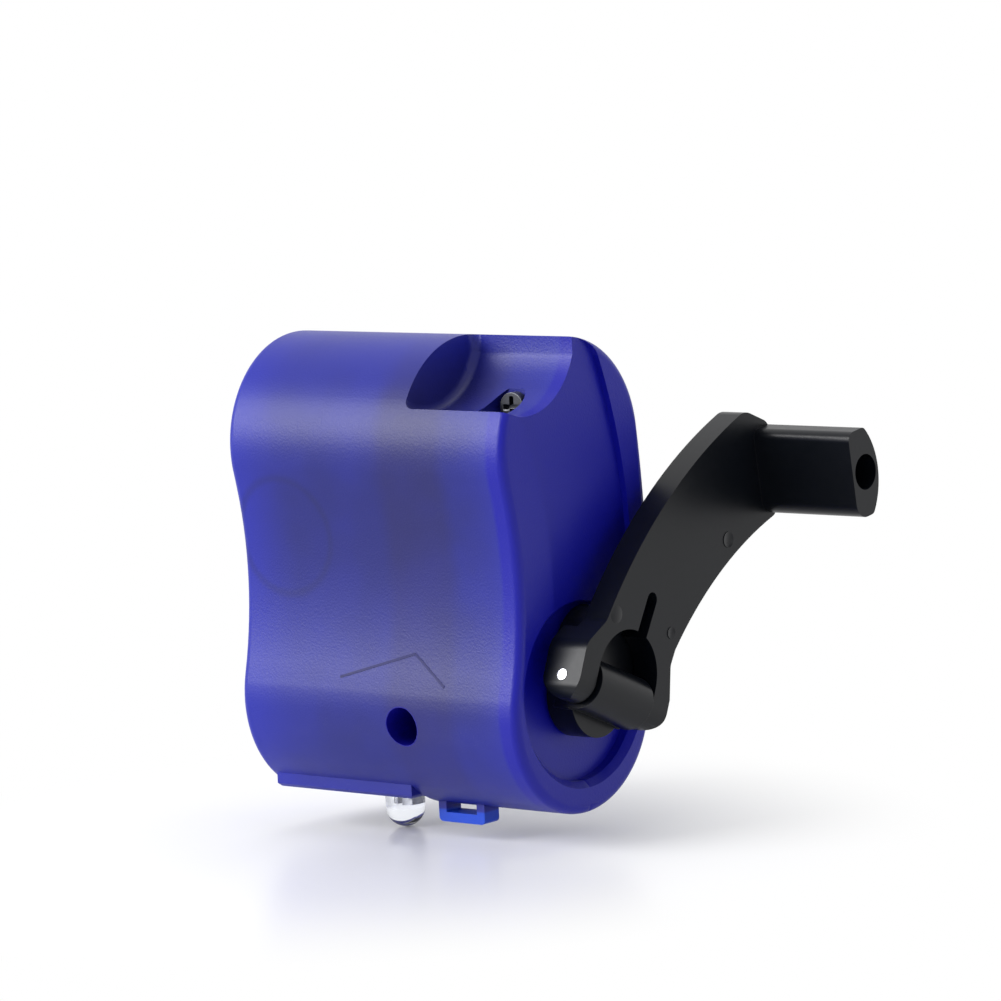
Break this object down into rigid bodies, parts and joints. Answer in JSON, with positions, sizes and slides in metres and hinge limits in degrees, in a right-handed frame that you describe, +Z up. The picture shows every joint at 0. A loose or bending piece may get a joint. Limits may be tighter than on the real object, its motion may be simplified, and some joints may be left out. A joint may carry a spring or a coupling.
{
  "type": "hand crank phone charger",
  "caption": "Pocket hand-crank charger: bean-section casing with gear train, generator and socket, and a folding crank whose handle stows in a corner notch.",
  "frame": {"origin": "middle of the casing's flat end face", "axes": "+X from the flat end to the crank end along the crank axis, +Z up from the socket end to the stowed handle, -Y towards the waisted grip side"},
  "size_m": [0.0643, 0.0482, 0.0619],
  "materials": {
    "shell_blue": "frosted translucent blue",
    "crank_black": "satin black",
    "steel": "bright",
    "screw_steel": "zinc plated",
    "nylon_white": "natural nylon",
    "black_nylon": "matt",
    "can_steel": "zinc plated",
    "ferrite": "dark sintered",
    "copper": "enamelled copper wire",
    "brass": "plain",
    "carbon": "graphite",
    "board_green": "solder mask",
    "lamp_clear": "water clear",
    "socket_plate": "nickel plated",
    "sleeve_blue": "shrink sleeve",
    "lead_red": "insulated wire"
  },
  "bodies": {
    "casing": {"front_shell": "shell_blue", "back_shell": "shell_blue", "case_screws": "screw_steel", "led": "lamp_clear", "led_leads": "socket_plate", "drive_bushing": "brass", "first_axle": "steel", "second_axle": "steel", "rear_gear_plate": "can_steel", "front_gear_plate": "can_steel", "plate_posts": "brass", "plate_screws": "screw_steel", "generator_can": "can_steel", "generator_cap": "black_nylon", "generator_magnets": "ferrite", "generator_bearings": "brass", "brushes": "carbon", "generator_terminals": "brass", "circuit_board": "board_green", "socket_shell": "socket_plate", "socket_tongue": "nylon_white", "socket_contacts": "brass", "capacitor": "sleeve_blue", "diodes": "black_nylon", "regulator": "black_nylon", "generator_leads": "lead_red"},
    "crank": {"crank_hub": "crank_black", "drive_shaft": "steel", "drive_gear": "nylon_white", "thrust_washer": "black_nylon"},
    "arm": {"crank_arm": "crank_black", "hinge_pin": "steel"},
    "first_stage": {"first_gear": "nylon_white"},
    "second_stage": {"second_gear": "nylon_white"},
    "rotor": {"rotor_shaft": "steel", "rotor_core": "can_steel", "rotor_windings": "copper", "commutator": "copper", "rotor_pinion": "brass"}
  },
  "joints": [
    {"name": "crank_spin", "type": "hinge", "parent": "casing", "child": "crank", "pos_m": [0, 0, -0.014], "axis": [1, 0, 0], "continuous": true},
    {"name": "crank_fold", "type": "hinge", "parent": "crank", "child": "arm", "pos_m": [0.0472, 0, -0.014], "axis": [0, 0.9171, -0.3987], "range_deg": [0, 180]},
    {"name": "first_gear_spin", "type": "hinge", "parent": "casing", "child": "first_stage", "pos_m": [0, 0, -0.0015], "axis": [1, 0, 0], "continuous": true},
    {"name": "second_gear_spin", "type": "hinge", "parent": "casing", "child": "second_stage", "pos_m": [0, 0.0039, 0.00825], "axis": [1, 0, 0], "continuous": true},
    {"name": "rotor_spin", "type": "hinge", "parent": "casing", "child": "rotor", "pos_m": [0, 0, 0.01636], "axis": [1, 0, 0], "continuous": true}
  ],
  "couplings": [
    {"joint": "first_gear_spin", "follows": "crank_spin", "ratio": -4},
    {"joint": "second_gear_spin", "follows": "crank_spin", "ratio": 12.8},
    {"joint": "rotor_spin", "follows": "crank_spin", "ratio": -33.28}
  ]
}
